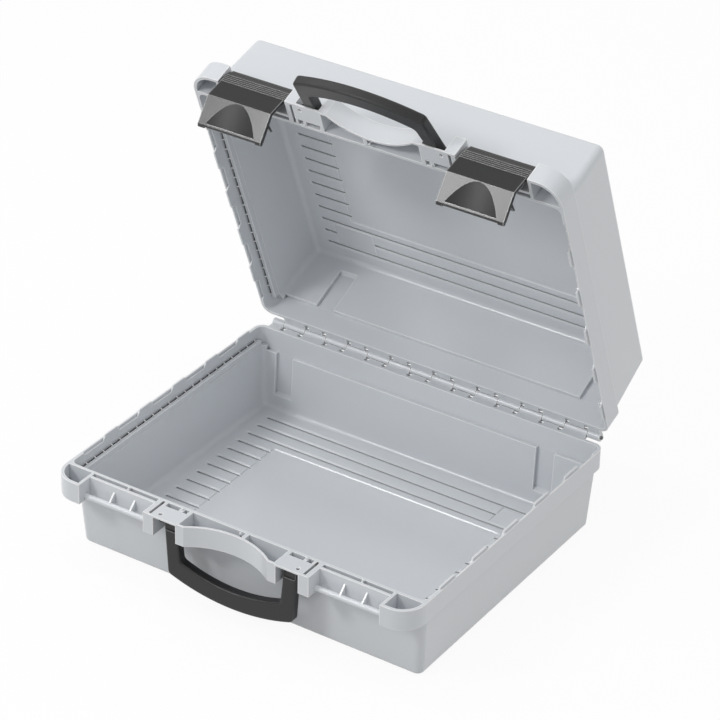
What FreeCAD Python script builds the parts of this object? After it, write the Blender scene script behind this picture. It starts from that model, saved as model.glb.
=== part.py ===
import FreeCAD, Part
import Sketcher
import math
import os

# Hard tool case in two identical injection-moulded halves, joined by a hinge rod along the back,
# held shut by two latches that hang on the lid, with one bail handle on each half.
# Every piece is modelled as it lies in the closed case: X runs along the width, Y from front to
# back with zero on the back face of the rim, Z up with zero on the parting plane.

SIZES = {
    # whole case
    "case_width": 350.0,
    "case_depth": 297.4,
    "shell_height": 78.5,
    "parting_clearance": 0.1,
    "lid_open_angle": 68.76,
    "overrun": 1.0,
    # rim band round the mouth of each half
    "rim_height": 19.0,
    "rim_wall": 2.8,
    "rim_corner_radius": 9.0,
    "rim_edge_radius": 0.6,
    "ledge_thickness": 2.4,
    # drafted pan below the band
    "pan_side_inset": 4.9,
    "pan_back_inset": 0.8,
    "pan_front_setback": 26.1,
    "pan_draft_angle": 3.4,
    "pan_wall": 3.2,
    "pan_corner_radius": 6.5,
    "well_corner_radius": 5.0,
    "pan_foot_radius": 4.0,
    "pan_floor": 3.0,
    "floor_fillet_radius": 4.6,
    # stepped back wall inside
    "back_wall": 2.4,
    "panel_step": 2.8,
    "panel_top_depth": 21.0,
    "recess_bottom_depth": 62.0,
    "recess_bottom_wall": 1.6,
    "recess_sill_drop": 2.0,
    "recess_width": 17.7,
    "left_recess_place": 144.3,
    "right_recess_place": 122.0,
    # comb of fine ribs along both sides
    "comb_top_depth": 11.5,
    "comb_rib_rise": 1.7,
    "comb_rib_width": 1.0,
    "comb_rib_pitch": 11.5,
    "comb_first_place": 12.6,
    "comb_end_gap": 6.0,
    # ribbed floor and its sunk middle
    "groove_width": 2.6,
    "groove_depth": 2.0,
    "groove_draft_angle": 6.0,
    "groove_end_radius": 1.2,
    "groove_rim_run": 1.3,
    "groove_rim_drop": 0.7,
    "groove_top_overrun": 0.3,
    "groove_pitch": 15.1,
    "groove_first_place": 25.5,
    "groove_reach": 149.0,
    "panel_reach": 116.0,
    "panel_sink": 1.0,
    "panel_back_place": 63.5,
    "panel_corner_radius": 3.0,
    "panel_draft_angle": 40.0,
    "patch_start": 97.0,
    "patch_end": 136.0,
    "patch_depth": 0.5,
    # tabs along the side rims and the notches that take them
    "tab_pitch": 47.5,
    "tab_first_place": 28.75,
    "tab_height": 2.4,
    "tab_thickness": 1.4,
    "tab_slope": 1.6,
    "left_tab_length": 19.5,
    "right_tab_length": 23.0,
    "notch_play": 2.5,
    "notch_clearance": 0.3,
    # double front wall
    "front_wall": 2.5,
    "front_channel": 4.0,
    "front_outer_face": 282.5,
    "left_web_place": 109.6,
    "right_web_place": 117.9,
    "web_width": 1.6,
    "peg_radius": 0.9,
    "peg_rise": 1.4,
    # corner pockets
    "pocket_plate_place": 146.0,
    "pocket_wall": 2.5,
    "pocket_corner_radius": 21.0,
    # latch recess: catch bar and its gussets
    "bar_radius": 2.35,
    "bar_setback": 8.4,
    "bar_depth": 14.6,
    "gusset_thickness": 1.6,
    "gusset_spacing": 20.7,
    "left_gusset_place": 110.85,
    "right_gusset_place": 114.6,
    "gusset_top_depth": 4.3,
    # handle blocks
    "leg_outer": 80.6,
    "leg_inner": 70.5,
    "leg_slot_outer": 76.4,
    "leg_slot_inner": 73.7,
    "leg_slot_setback": 2.1,
    "block_inner": 48.8,
    "block_overhang": 1.1,
    "plate_thickness": 1.6,
    "plate_hole_radius": 1.75,
    "plate_hole_place": 66.9,
    "plate_hole_setback": 4.5,
    "cell_setback": 16.2,
    "cell_left_outer": 71.0,
    "cell_left_rib_outer": 58.0,
    "cell_left_rib_inner": 54.0,
    "cell_left_inner": 49.8,
    "cell_right_inner": 50.0,
    "cell_right_rib_inner": 63.6,
    "cell_right_rib_outer": 66.3,
    "cell_right_outer": 71.5,
    # visor between the handle blocks
    "visor_chord": 82.0,
    "visor_bow": 13.4,
    "visor_wall": 2.0,
    "visor_end_wall": 2.3,
    "visor_rib_start": 5.2,
    "visor_rib_width": 3.2,
    "visor_peg_place": 2.3,
    "visor_hole_width": 6.0,
    "visor_hole_depth": 7.0,
    # hinge
    "hinge_setback": 9.5,
    "barrel_radius": 3.6,
    "rod_radius": 1.5,
    "rod_clearance": 0.05,
    "rod_end_rise": 1.2,
    "knuckle_pitch": 22.0,
    "knuckle_end_width": 12.0,
    "knuckle_gap": 0.2,
    "leaf_thickness": 3.2,
    "hinge_ledge_width": 14.0,
    "hinge_ledge_clearance": 0.5,
    "hinge_web_thickness": 1.6,
    # latches
    "latch_width": 61.5,
    "latch_place": 113.75,
    "latch_wall": 2.0,
    "latch_crease_depth": 16.2,
    "latch_crease_rise": 1.0,
    "latch_lower_length": 24.7,
    "latch_lower_angle": 33.4,
    "latch_lower_wall": 3.4,
    "latch_shoulder_height": 10.9,
    "latch_shoulder_setback": 2.4,
    "latch_belly_height": 2.4,
    "latch_belly_setback": 0.8,
    "latch_top_setback": 5.6,
    "clip_wall": 1.95,
    "clip_clearance": 0.06,
    "clip_throat_share": 0.75,
    "clip_notch_width": 6.0,
    "clip_notch_left": 12.2,
    "clip_notch_right": 8.5,
    "flange_thickness": 1.4,
    "flange_depth": 3.4,
    "ridge_radius": 0.6,
    "ridge_pitch": 2.1,
    "hook_width": 19.0,
    "hook_tip_reach": 7.5,
    "hook_tip_depth": 19.7,
    "hook_tip_height": 2.2,
    "hook_root_depth": 23.4,
    "thumb_radius": 115.0,
    "thumb_start": 0.5,
    "thumb_run_up": 4.0,
    "thumb_tilt": 6.2,
    "lip_radius": 1.7,
    "lip_foot_radius": 2.1,
    "lip_foot_width": 5.5,
    # handles
    "handle_pivot_setback": 9.4,
    "handle_pivot_depth": 9.0,
    "handle_thickness": 9.0,
    "handle_outer_top": 64.3,
    "handle_inner_top": 52.5,
    "handle_outer_corner": 61.0,
    "handle_inner_corner": 49.0,
    "handle_outer_drop": 46.5,
    "handle_inner_drop": 31.3,
    "handle_outer_bow": 10.9,
    "handle_inner_bow": 9.3,
    "handle_corner_radius": 5.0,
    "handle_inner_corner_radius": 4.0,
    "handle_edge_radius": 2.0,
    "handle_head_step": 1.0,
    "handle_head_flat": 0.3,
    "trunnion_radius": 2.0,
    "trunnion_clearance": 0.06,
    "trunnion_end_gap": 0.8,
    "upper_handle_angle": 104.0,
}
COMB_RIB_COUNT = 22
SHORT_GROOVE_COUNT = 10
LONG_GROOVE_COUNT = 3
TAB_COUNT = 5
WIDE_KNUCKLE_COUNT = 7
RIDGE_COUNT = 5
LAST_GROOVE = 2 * LONG_GROOVE_COUNT + SHORT_GROOVE_COUNT - 1

document = FreeCAD.newDocument("ToolCase")
sheet = document.addObject("Spreadsheet::Sheet", "Sizes")


class Size:
    """A number with the sheet formula it comes from, so that one sum gives both."""

    def __init__(self, formula, number):
        self.formula = formula
        self.number = number

    def combined(self, sign, other, number):
        other_formula = other.formula if isinstance(other, Size) else str(other)
        return Size("(" + self.formula + " " + sign + " " + other_formula + ")", number)

    def __add__(self, other):
        return self.combined("+", other, self.number + number_of(other))

    def __sub__(self, other):
        return self.combined("-", other, self.number - number_of(other))

    def __mul__(self, other):
        return self.combined("*", other, self.number * number_of(other))

    def __truediv__(self, other):
        return self.combined("/", other, self.number / number_of(other))

    def __neg__(self):
        return Size("(-1 * " + self.formula + ")", -self.number)


def number_of(value):
    return value.number if isinstance(value, Size) else float(value)


def tangent(angle):
    """Tangent of an angle held in degrees."""
    return Size("tan(" + angle.formula + " * 1 deg)", math.tan(math.radians(angle.number)))


def sine(angle):
    """Sine of an angle held in degrees."""
    return Size("sin(" + angle.formula + " * 1 deg)", math.sin(math.radians(angle.number)))


def cosine(angle):
    """Cosine of an angle held in degrees."""
    return Size("cos(" + angle.formula + " * 1 deg)", math.cos(math.radians(angle.number)))


def arctangent(ratio):
    """Angle in degrees whose tangent is a ratio."""
    return Size("(atan(" + ratio.formula + ") / 1 deg)", math.degrees(math.atan(ratio.number)))


class Pose:
    """A placement with the sheet formula it comes from."""

    def __init__(self, formula, placement):
        self.formula = formula
        self.placement = placement

    def __mul__(self, other):
        return Pose("(" + self.formula + " * " + other.formula + ")", self.placement * other.placement)


def move(across, along, up):
    """Shift by three sizes."""
    vector = FreeCAD.Vector(number_of(across), number_of(along), number_of(up))
    lengths = ", ".join(part.formula for part in (across, along, up))
    formula = "placement(vector(" + lengths + "), rotation(vector(0, 0, 1), 0))"
    return Pose(formula, FreeCAD.Placement(vector, FreeCAD.Rotation()))


def turn(axis, angle):
    """Turn about one of the main axes by an angle in degrees."""
    axis_vector = {"X": FreeCAD.Vector(1, 0, 0), "Y": FreeCAD.Vector(0, 1, 0)}[axis]
    axis_formula = {"X": "vector(1, 0, 0)", "Y": "vector(0, 1, 0)"}[axis]
    formula = "placement(vector(0, 0, 0), rotation(" + axis_formula + ", " + angle.formula + "))"
    rotation = FreeCAD.Rotation(axis_vector, number_of(angle))
    return Pose(formula, FreeCAD.Placement(FreeCAD.Vector(0, 0, 0), rotation))


def bind_pose(feature, pose):
    """Tie the placement of a feature to the sheet."""
    feature.setExpression("Placement", pose.formula)


def fill_sheet():
    """Write every driving dimension into the sheet under its own alias."""
    for row, (alias, value) in enumerate(SIZES.items(), start=1):
        sheet.set("A" + str(row), alias)
        sheet.set("B" + str(row), str(value))
        sheet.setAlias("B" + str(row), alias)
    document.recompute()


def size(alias):
    return Size("Sizes." + alias, SIZES[alias])


def bind(feature, path, value):
    """Tie one property of a feature to the sheet."""
    feature.setExpression(path, value.formula if isinstance(value, Size) else str(value))


def origin_feature(body, role):
    return [item for item in body.Origin.OriginFeatures if item.Role == role][0]


class Corner:
    """One corner of an outline. A round blends it, a bow arches the edge that leaves it."""

    def __init__(self, across, along, round=None, bow=None):
        self.across = across
        self.along = along
        self.round = round
        self.bow = bow

    def vector(self):
        return FreeCAD.Vector(number_of(self.across), number_of(self.along), 0)


class Circle:
    """A full circle in an outline sketch."""

    def __init__(self, across, along, radius):
        self.across = across
        self.along = along
        self.radius = radius


def rectangle(left, right, low, high, round=None):
    corners = [(left, low), (right, low), (right, high), (left, high)]
    return [Corner(across, along, round) for across, along in corners]


def flipped(outline):
    """The same outline on the other side of the middle plane."""
    return [Corner(-corner.across, corner.along, corner.round, corner.bow) for corner in reversed(outline)]


def name_constraint(sketch, constraint, value):
    """Add a constraint that follows a formula."""
    index = sketch.addConstraint(constraint)
    name = "bound" + str(index)
    sketch.renameConstraint(index, name)
    bind(sketch, "Constraints." + name, value)


def place_point(sketch, element, end, across, along):
    """Hold a point of the sketch at two distances from its origin."""
    name_constraint(sketch, Sketcher.Constraint("DistanceX", -1, 1, element, end, number_of(across)), across)
    name_constraint(sketch, Sketcher.Constraint("DistanceY", -1, 1, element, end, number_of(along)), along)


def draw_circle(sketch, circle):
    centre = FreeCAD.Vector(number_of(circle.across), number_of(circle.along), 0)
    shape = Part.Circle(centre, FreeCAD.Vector(0, 0, 1), number_of(circle.radius))
    element = sketch.addGeometry(shape, False)
    place_point(sketch, element, 3, circle.across, circle.along)
    name_constraint(sketch, Sketcher.Constraint("Radius", element, number_of(circle.radius)), circle.radius)


def bowed_arc(start, end, bow):
    """Arc over a level chord that stands off it by the bow, and its radius as a size."""
    half_chord = (end.across - start.across) / 2
    side_sign = 1 if number_of(bow) > 0 else -1
    radius = (half_chord * half_chord + bow * bow) / (bow * 2) * side_sign
    middle = (start.vector() + end.vector()) * 0.5
    direction = (end.vector() - start.vector()).normalize()
    side = FreeCAD.Vector(-direction.y, direction.x, 0)
    top = middle + side * number_of(bow)
    arc = Part.Arc(start.vector(), top, end.vector())
    return arc, radius


def rounded_points(before, here, after):
    """Ends and middle of the blend at a corner."""
    radius = number_of(here.round)
    back = (before.vector() - here.vector()).normalize()
    ahead = (after.vector() - here.vector()).normalize()
    half_angle = back.getAngle(ahead) / 2
    setback = radius / math.tan(half_angle)
    bisector = (back + ahead).normalize()
    centre = here.vector() + bisector * (radius / math.sin(half_angle))
    middle = centre - bisector * radius
    return here.vector() + back * setback, middle, here.vector() + ahead * setback


def draw_outline(sketch, outline):
    """Closed outline of straight, bowed and blended parts, fully held by named sizes."""
    count = len(outline)
    starts = {}
    ends = {}
    blends = {}
    for index, corner in enumerate(outline):
        if corner.round is None:
            starts[index] = corner.vector()
            ends[index] = corner.vector()
            continue
        before = outline[index - 1]
        after = outline[(index + 1) % count]
        first, middle, last = rounded_points(before, corner, after)
        ends[index] = first
        starts[index] = last
        blends[index] = Part.Arc(first, middle, last)
    edges = {}
    bows = {}
    for index, corner in enumerate(outline):
        following = (index + 1) % count
        if corner.bow is None:
            line = Part.LineSegment(starts[index], ends[following])
            edges[index] = sketch.addGeometry(line, False)
            continue
        arc, radius = bowed_arc(corner, outline[following], corner.bow)
        edges[index] = sketch.addGeometry(arc, False)
        reversed_arc = sketch.getPoint(edges[index], 1).distanceToPoint(starts[index]) > 1e-6
        bows[index] = reversed_arc
        name_constraint(sketch, Sketcher.Constraint("Radius", edges[index], radius.number), radius)
    for index, corner in enumerate(outline):
        incoming = edges[(index - 1) % count]
        outgoing = edges[index]
        incoming_end = 1 if bows.get((index - 1) % count) else 2
        outgoing_end = 2 if bows.get(index) else 1
        if corner.round is None:
            joined = Sketcher.Constraint("Coincident", incoming, incoming_end, outgoing, outgoing_end)
            sketch.addConstraint(joined)
            place_point(sketch, outgoing, outgoing_end, corner.across, corner.along)
            continue
        tip = sketch.addGeometry(Part.Point(corner.vector()), True)
        place_point(sketch, tip, 1, corner.across, corner.along)
        sketch.addConstraint(Sketcher.Constraint("PointOnObject", tip, 1, incoming))
        sketch.addConstraint(Sketcher.Constraint("PointOnObject", tip, 1, outgoing))
        blend = sketch.addGeometry(blends[index], False)
        same_way = sketch.getPoint(blend, 1).distanceToPoint(ends[index]) < 1e-6
        entry, leave = (1, 2) if same_way else (2, 1)
        sketch.addConstraint(Sketcher.Constraint("Tangent", incoming, incoming_end, blend, entry))
        sketch.addConstraint(Sketcher.Constraint("Tangent", blend, leave, outgoing, outgoing_end))
        name_constraint(sketch, Sketcher.Constraint("Radius", blend, number_of(corner.round)), corner.round)


def draw(body, name, plane, level, outlines):
    """Sketch on an origin plane of the body, lifted to a level along X, Y or Z."""
    sketch = body.newObject("Sketcher::SketchObject", name)
    sketch.AttachmentSupport = [(origin_feature(body, plane), "")]
    sketch.MapMode = "FlatFace"
    offset = -level if plane == "XZ_Plane" else level
    bind(sketch, "AttachmentOffset.Base.z", offset)
    for outline in outlines:
        if isinstance(outline, Circle):
            draw_circle(sketch, outline)
        else:
            draw_outline(sketch, outline)
    sketch.Visibility = False
    return sketch


def finish_feature(body, feature):
    feature.Refine = False
    body.Tip = feature
    return feature


def pad(body, name, plane, low, high, outlines):
    """Add material between two levels along the normal of the plane."""
    sketch = draw(body, name + "_sketch", plane, low, outlines)
    feature = body.newObject("PartDesign::Pad", name)
    feature.Profile = sketch
    bind(feature, "Length", high - low)
    feature.Reversed = plane == "XZ_Plane"
    return finish_feature(body, feature)


def pocket(body, name, plane, low, high, outlines):
    """Remove material between two levels along the normal of the plane."""
    sketch = draw(body, name + "_sketch", plane, low, outlines)
    feature = body.newObject("PartDesign::Pocket", name)
    feature.Profile = sketch
    bind(feature, "Length", high - low)
    feature.Reversed = plane != "XZ_Plane"
    return finish_feature(body, feature)


def sink(body, name, top, depth, draft, outlines):
    """Drafted plug that goes down from a level and narrows as it goes."""
    sketch = draw(body, name + "_sketch", "XY_Plane", top, outlines)
    feature = body.newObject("PartDesign::Pad", name)
    feature.Profile = sketch
    feature.Reversed = True
    bind(feature, "Length", depth)
    bind(feature, "TaperAngle", -draft)
    return finish_feature(body, feature)


def repeat(body, name, originals, axis, length, count, backwards=False):
    """Repeat features along an axis over a whole length."""
    pattern = body.newObject("PartDesign::LinearPattern", name)
    pattern.Originals = originals
    pattern.Direction = (origin_feature(body, axis), [""])
    pattern.Reversed = backwards
    pattern.Occurrences = count
    bind(pattern, "Length", length)
    return finish_feature(body, pattern)


def loft(body, name, kind, sketches):
    feature = body.newObject("PartDesign::" + kind, name)
    feature.Profile = sketches[0]
    feature.Sections = sketches[1:]
    feature.Ruled = True
    return finish_feature(body, feature)


def edges_where(shape, wanted):
    """Names of the edges that a test picks out."""
    return ["Edge" + str(index) for index, edge in enumerate(shape.Edges, start=1) if wanted(edge)]


def blend_edges(body, name, radius, wanted):
    document.recompute()
    base = body.Tip
    feature = body.newObject("PartDesign::Fillet", name)
    feature.Base = (base, edges_where(base.Shape, wanted))
    bind(feature, "Radius", radius)
    return finish_feature(body, feature)


def lies_at(edge, height):
    """True for an edge whose every point has this height."""
    box = edge.BoundBox
    return abs(box.ZMin - number_of(height)) < 1e-4 and abs(box.ZMax - number_of(height)) < 1e-4


fill_sheet()

# Places that several pieces share
half_width = size("case_width") / 2
case_front = -size("case_depth")
mouth = -size("parting_clearance")
rim_bottom = -size("rim_height")
ledge_top = rim_bottom + size("ledge_thickness")
shell_bottom = -size("shell_height")
floor_top = shell_bottom + size("pan_floor")
front_face = -size("front_outer_face")
channel_front = front_face + size("front_wall")
channel_back = channel_front + size("front_channel")
cavity_front = channel_back + size("front_wall")
bar_across = case_front + size("bar_setback")
handle_across = case_front + size("handle_pivot_setback")
hinge_across = size("hinge_setback")
overrun = size("overrun")
zero = overrun * 0


def pan_inset(height):
    """How far the drafted pan has drawn in at a height below the band."""
    return (rim_bottom - height) * tangent(size("pan_draft_angle"))


def pan_outline(height, wall, back_wall, radius):
    """Section of the pan at a height, inside a wall."""
    inset = pan_inset(height) + wall
    side = half_width - size("pan_side_inset") - inset
    front = case_front + size("pan_front_setback") + inset
    back = -size("pan_back_inset") - pan_inset(height) - back_wall
    return rectangle(-side, side, front, back, radius)


def build_pan(body):
    """Drafted box below the band, closed at the bottom."""
    radius = size("pan_corner_radius")
    top = draw(body, "pan_top", "XY_Plane", rim_bottom, [pan_outline(rim_bottom, zero, zero, radius)])
    foot = draw(body, "pan_foot", "XY_Plane", shell_bottom, [pan_outline(shell_bottom, zero, zero, radius)])
    loft(body, "pan", "AdditiveLoft", [top, foot])
    blend_edges(body, "pan_foot_blend", size("pan_foot_radius"), lambda edge: lies_at(edge, shell_bottom))


def build_rim(body):
    """Band round the mouth with the corner posts that stand forward of the latch recesses."""
    corner = size("rim_corner_radius")
    post = size("pocket_corner_radius")
    plate = size("pocket_plate_place")
    outline = [
        Corner(-half_width, zero, corner),
        Corner(-half_width, case_front, post),
        Corner(-plate, case_front),
        Corner(-plate, front_face),
        Corner(plate, front_face),
        Corner(plate, case_front),
        Corner(half_width, case_front, post),
        Corner(half_width, zero, corner),
    ]
    pad(body, "rim", "XY_Plane", rim_bottom, mouth, [outline])
    margin = number_of(size("rim_edge_radius"))
    document.recompute()
    pan_box = body.Tip.BaseFeature.Shape.BoundBox

    def on_outer_rim(edge):
        box = edge.BoundBox
        beyond_side = max(abs(box.XMin), abs(box.XMax)) > pan_box.XMax + margin
        beyond_front = box.YMin < pan_box.YMin - margin
        behind = box.YMin > -margin
        return lies_at(edge, rim_bottom) and (beyond_side or beyond_front or behind)

    blend_edges(body, "rim_edge_blend", size("rim_edge_radius"), on_outer_rim)


def build_cavity(body):
    """Space inside: the open mouth, the drafted well and the stepped back wall."""
    inner_corner = size("rim_corner_radius") - size("rim_wall")
    side = half_width - size("rim_wall")
    mouth_outline = rectangle(-side, side, cavity_front, -size("rim_wall"), inner_corner)
    pocket(body, "mouth_space", "XY_Plane", ledge_top, overrun, [mouth_outline])
    comb_top = -size("comb_top_depth")
    comb_inner = half_width - size("pan_side_inset") - size("pan_wall") - pan_inset(comb_top)
    comb_outer = comb_inner + size("pan_wall")
    comb_front = cavity_front + size("comb_end_gap")
    comb_back = -size("rim_wall") - size("comb_end_gap")
    comb_wall = rectangle(comb_inner, comb_outer, comb_front, comb_back)
    pad(body, "comb_walls", "XY_Plane", ledge_top, comb_top, [comb_wall, flipped(comb_wall)])
    back_wall = size("back_wall") + size("panel_step")
    radius = size("well_corner_radius")
    top_outline = pan_outline(comb_top, size("pan_wall"), back_wall, radius)
    top = draw(body, "well_top", "XY_Plane", comb_top, [top_outline])
    foot_outline = pan_outline(floor_top, size("pan_wall"), back_wall, radius)
    foot = draw(body, "well_foot", "XY_Plane", floor_top, [foot_outline])
    loft(body, "well", "SubtractiveLoft", [top, foot])
    blend_edges(body, "floor_blend", size("floor_fillet_radius"), lambda edge: lies_at(edge, floor_top))


def build_back_wall(body):
    """Step above the middle panel and the two tall recesses beside it."""
    panel_top = -size("panel_top_depth")
    side = half_width - size("pan_side_inset") - size("pan_wall") * 2
    reach = -size("rim_wall") - size("panel_step") * 2 - size("back_wall")
    step = rectangle(-side, side, reach, -size("rim_wall"))
    pocket(body, "panel_step_space", "XY_Plane", panel_top, ledge_top + overrun, [step])
    recess_bottom = -size("recess_bottom_depth")
    bottom_face = -size("pan_back_inset") - size("recess_bottom_wall") - pan_inset(recess_bottom)
    front = bottom_face - size("panel_step") * 2
    sill_drop = size("recess_sill_drop")
    profile = [
        Corner(front, recess_bottom - sill_drop),
        Corner(bottom_face, recess_bottom + sill_drop),
        Corner(-size("rim_wall"), panel_top + overrun),
        Corner(front, panel_top + overrun),
    ]
    half = size("recess_width") / 2
    left = -size("left_recess_place")
    right = size("right_recess_place")
    pocket(body, "left_recess", "YZ_Plane", left - half, left + half, [profile])
    pocket(body, "right_recess", "YZ_Plane", right - half, right + half, [profile])


def build_comb(body):
    """Row of fine ribs between the comb wall and the band on both sides."""
    comb_top = -size("comb_top_depth")
    inner = half_width - size("pan_side_inset") - pan_inset(comb_top) - size("pan_wall") / 2
    outer = half_width - size("rim_wall") / 2
    rib = [
        Corner(inner, ledge_top - size("ledge_thickness") / 2),
        Corner(outer, ledge_top - size("ledge_thickness") / 2),
        Corner(outer, comb_top + size("comb_rib_rise")),
        Corner(inner, comb_top),
    ]
    high = -size("comb_first_place")
    low = high - size("comb_rib_width")
    first = pad(body, "comb_rib", "XZ_Plane", low, high, [rib, flipped(rib)])
    length = size("comb_rib_pitch") * (COMB_RIB_COUNT - 1)
    repeat(body, "comb_ribs", [first], "Y_Axis", length, COMB_RIB_COUNT, backwards=True)


def groove_outline(left, right, place, rim=zero):
    half = size("groove_width") / 2 + rim
    return rectangle(left - rim, right + rim, place - half, place + half, size("groove_end_radius") + rim)


def groove_place(index):
    """Distance from the back of one floor groove, counted from the hinge."""
    return -size("groove_first_place") - size("groove_pitch") * index


def long_grooves(rim):
    """Outlines of the grooves that run along the whole floor."""
    reach = size("groove_reach")
    grooves = [
        groove_outline(-reach, reach, groove_place(0), rim),
        groove_outline(-reach, size("patch_start"), groove_place(1), rim),
        groove_outline(size("patch_end"), reach, groove_place(1), rim),
        groove_outline(-reach, reach, groove_place(2), rim),
    ]
    for index in range(LONG_GROOVE_COUNT):
        grooves.append(groove_outline(-reach, reach, groove_place(LAST_GROOVE - index), rim))
    return grooves


def open_floor(body):
    """Grooves behind, in front of and beside the sunk middle, and the patch that breaks one."""
    top_overrun = size("groove_top_overrun")
    top = floor_top + top_overrun
    reach = size("panel_reach")
    back = -size("panel_back_place")
    front = groove_place(0) + groove_place(LAST_GROOVE) - back
    sunk = rectangle(-reach, reach, front, back, size("panel_corner_radius"))
    sink(body, "floor_panel", top, size("panel_sink") + top_overrun, size("panel_draft_angle"), [sunk])
    start = reach - size("groove_width")
    length = size("groove_pitch") * (SHORT_GROOVE_COUNT - 1)
    rim_draft = arctangent(size("groove_rim_run") / size("groove_rim_drop"))
    stages = [
        ("groove", zero, size("groove_depth") + top_overrun, size("groove_draft_angle"), top),
        ("groove_rim", size("groove_rim_run"), size("groove_rim_drop"), rim_draft, floor_top),
    ]
    for name, rim, depth, draft, level in stages:
        sink(body, "long_" + name + "s", level, depth, draft, long_grooves(rim))
        short = groove_outline(start, size("groove_reach"), groove_place(LONG_GROOVE_COUNT), rim)
        pair = sink(body, "short_" + name, level, depth, draft, [short, flipped(short)])
        repeat(body, "short_" + name + "s", [pair], "Y_Axis", length, SHORT_GROOVE_COUNT, backwards=True)
    patch_start = size("patch_start")
    patch_end = size("patch_end")
    patch_back = groove_place(0) - size("groove_width")
    patch_front = groove_place(2) + size("groove_width")
    patch = rectangle(patch_start, patch_end, patch_front, patch_back)
    pad(body, "floor_patch", "XY_Plane", floor_top - size("patch_depth"), floor_top + overrun, [patch])


def tab_profile(place, length, base, height, slope):
    half = length / 2
    return [
        Corner(place - half, base),
        Corner(place + half, base),
        Corner(place + half - slope, height),
        Corner(place - half + slope, height),
    ]


def notch_profile(place, tab_length):
    """Notch for a tab of the other half, seen from the side."""
    half = (tab_length + size("notch_play") * 2) / 2
    depth = -size("tab_height") - size("notch_clearance")
    slope = size("tab_slope")
    return [
        Corner(place - half, overrun),
        Corner(place - half, mouth),
        Corner(place - half + slope, depth),
        Corner(place + half - slope, depth),
        Corner(place + half, mouth),
        Corner(place + half, overrun),
    ]


def add_tabs(body):
    """Tabs that stand up from each side rim."""
    length = size("tab_pitch") * (TAB_COUNT - 1)
    left_place = -size("tab_first_place")
    right_place = left_place - size("tab_pitch") / 2
    inner = half_width - size("rim_wall")
    outer = inner + size("tab_thickness")
    root = mouth - size("tab_height")
    rise = size("tab_height")
    slope = size("tab_slope")
    left_tab = tab_profile(left_place, size("left_tab_length"), root, rise, slope)
    first = pad(body, "left_tab", "YZ_Plane", -outer, -inner, [left_tab])
    repeat(body, "left_tabs", [first], "Y_Axis", length, TAB_COUNT, backwards=True)
    right_tab = tab_profile(right_place, size("right_tab_length"), root, rise, slope)
    first = pad(body, "right_tab", "YZ_Plane", inner, outer, [right_tab])
    repeat(body, "right_tabs", [first], "Y_Axis", length, TAB_COUNT, backwards=True)


def open_notches(body):
    """Notches in each side rim that take the other half's tabs."""
    length = size("tab_pitch") * (TAB_COUNT - 1)
    left_place = -size("tab_first_place")
    right_place = left_place - size("tab_pitch") / 2
    inner = half_width - size("rim_wall")
    outer = inner + size("tab_thickness") + size("notch_clearance") / 2
    left_notch = notch_profile(right_place, size("right_tab_length"))
    first = pad(body, "left_notch", "YZ_Plane", -outer, -inner + overrun, [left_notch])
    repeat(body, "left_notches", [first], "Y_Axis", length, TAB_COUNT, backwards=True)
    right_notch = notch_profile(left_place, size("left_tab_length"))
    first = pad(body, "right_notch", "YZ_Plane", inner - overrun, outer, [right_notch])
    repeat(body, "right_notches", [first], "Y_Axis", length, TAB_COUNT, backwards=True)


def open_front(body):
    """Channel in the double front wall, either side of its webs, and the corner pockets."""
    plate = size("pocket_plate_place")
    leg = size("leg_outer")
    half_web = size("web_width") / 2
    left_web = -size("left_web_place")
    right_web = size("right_web_place")
    cells = [
        rectangle(-plate, left_web - half_web, channel_front, channel_back),
        rectangle(left_web + half_web, -leg, channel_front, channel_back),
        rectangle(leg, right_web - half_web, channel_front, channel_back),
        rectangle(right_web + half_web, plate, channel_front, channel_back),
    ]
    pocket_inner = plate + size("pocket_wall")
    pocket_outer = half_width - size("rim_wall")
    pocket_front = case_front + size("rim_wall")
    corner_pocket = [
        Corner(pocket_inner, pocket_front),
        Corner(pocket_outer, pocket_front, size("pocket_corner_radius") - size("rim_wall")),
        Corner(pocket_outer, channel_back),
        Corner(pocket_inner, channel_back),
    ]
    cells += [corner_pocket, flipped(corner_pocket)]
    pad(body, "front_cells", "XY_Plane", ledge_top, overrun, cells)


def add_pegs(body):
    """Locating pegs on the webs of the channel and of the handle blocks."""
    across = channel_back - size("front_channel") / 2
    radius = size("peg_radius")
    left_rib = -(size("cell_left_rib_outer") + size("cell_left_rib_inner")) / 2
    right_rib = (size("cell_right_rib_inner") + size("cell_right_rib_outer")) / 2
    places = [-size("left_web_place"), left_rib, right_rib, size("right_web_place")]
    pegs = [Circle(place, across, radius) for place in places]
    pad(body, "pegs", "XY_Plane", ledge_top, size("peg_rise"), pegs)


def add_blocks(body):
    """Handle blocks: legs and the cover plates over the handle's ends."""
    front = case_front - size("block_overhang")
    back = front_face + size("front_wall") / 2
    leg = rectangle(size("leg_inner"), size("leg_outer"), front, back)
    pad(body, "block_legs", "XY_Plane", rim_bottom, mouth, [leg, flipped(leg)])
    plate_inner = size("block_inner") - size("visor_end_wall") / 2
    plate = rectangle(plate_inner, size("leg_inner") + size("pan_wall") / 2, front, back)
    pad(body, "block_plates", "XY_Plane", mouth - size("plate_thickness"), mouth, [plate, flipped(plate)])


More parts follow.
